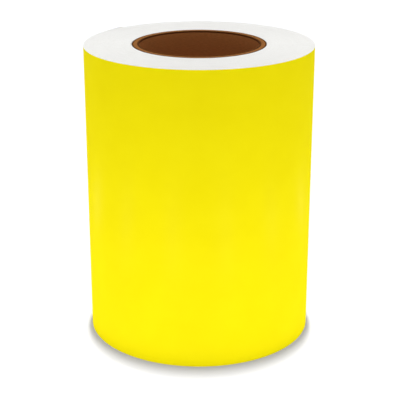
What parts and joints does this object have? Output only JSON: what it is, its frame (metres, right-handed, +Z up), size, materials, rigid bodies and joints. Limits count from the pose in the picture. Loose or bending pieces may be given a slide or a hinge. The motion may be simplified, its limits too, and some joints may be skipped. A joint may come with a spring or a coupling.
{
  "type": "roll of sign vinyl",
  "caption": "Roll of self-adhesive coloured sign vinyl on a release liner, wound film side out on a spiral paperboard core, with a taped free end that lifts and peels.",
  "frame": {"origin": "centre of the core's bore at the lower end face, on which the roll stands", "axes": "+Z up along the core's axis; the free end of the web lies at 135 degrees from +X towards +Y"},
  "size_m": [0.1461, 0.1459, 0.1905],
  "materials": {
    "yellow_vinyl": "satin",
    "web_edge": "matte",
    "adhesive": "satin",
    "release_liner": "satin",
    "core_board": "matte",
    "double_sided_tape": "satin",
    "paper_tape": "matte"
  },
  "bodies": {
    "roll": {"core_inner_ply": "core_board", "core_body_ply_01": "core_board", "core_body_ply_02": "core_board", "core_body_ply_03": "core_board", "core_body_ply_04": "core_board", "core_body_ply_05": "core_board", "core_body_ply_06": "core_board", "core_body_ply_07": "core_board", "core_body_ply_08": "core_board", "core_body_ply_09": "core_board", "core_outer_ply": "core_board", "start_tape": "double_sided_tape", "wound_web": "web_edge", "outer_film": "yellow_vinyl", "outer_liner": "release_liner"},
    "tail": {"tail_liner": "release_liner", "tail_film": "yellow_vinyl"},
    "peel_flap": {"peel_film": "yellow_vinyl", "closing_tape": "paper_tape"},
    "pull_tab": {"tape_pull_tab": "paper_tape"}
  },
  "joints": [
    {"name": "tail_lift", "type": "hinge", "parent": "roll", "child": "tail", "pos_m": [-0.07239, 0.01022, 0.09525], "axis": [0, 0, 1], "range_deg": [0, 50], "stiffness_Nm_per_rad": 0.003},
    {"name": "film_peel", "type": "hinge", "parent": "tail", "child": "peel_flap", "pos_m": [-0.06678, 0.02976, 0.09525], "axis": [0, 0, 1], "range_deg": [0, 100], "stiffness_Nm_per_rad": 0.0006},
    {"name": "tape_peel", "type": "hinge", "parent": "peel_flap", "child": "pull_tab", "pos_m": [-0.0518, 0.0518, 0.09525], "axis": [0, 0, 1], "range_deg": [0, 90]}
  ]
}
